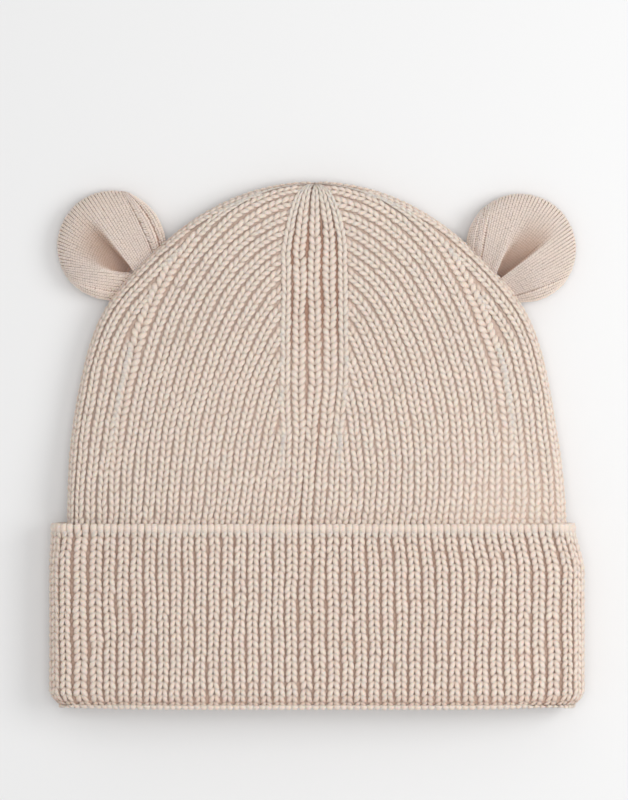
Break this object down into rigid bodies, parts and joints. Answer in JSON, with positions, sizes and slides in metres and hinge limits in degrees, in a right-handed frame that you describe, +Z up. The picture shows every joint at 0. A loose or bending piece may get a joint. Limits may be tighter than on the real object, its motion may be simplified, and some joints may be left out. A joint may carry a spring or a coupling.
{
  "type": "baby hat with ears",
  "caption": "Rib-knitted baby beanie with a turned-up cuff and two round soft ears, lying flat with its front up.",
  "frame": {"origin": "on the surface that the hat lies on, under the middle of its outline", "axes": "+Z up from the surface, out of the front of the hat; +Y from the cuff to the top of the crown; +X to the right as the front is seen"},
  "size_m": [0.1792, 0.176, 0.0218],
  "materials": {
    "rib_knit": "warm beige cotton yarn in a chunky rib knit, matt, soft",
    "ear_jersey": "warm beige cotton in a fine plain knit, matt, soft"
  },
  "bodies": {
    "root": {"crown": "rib_knit", "cuff": "rib_knit", "ear_left": "ear_jersey", "ear_right": "ear_jersey"}
  },
  "joints": []
}
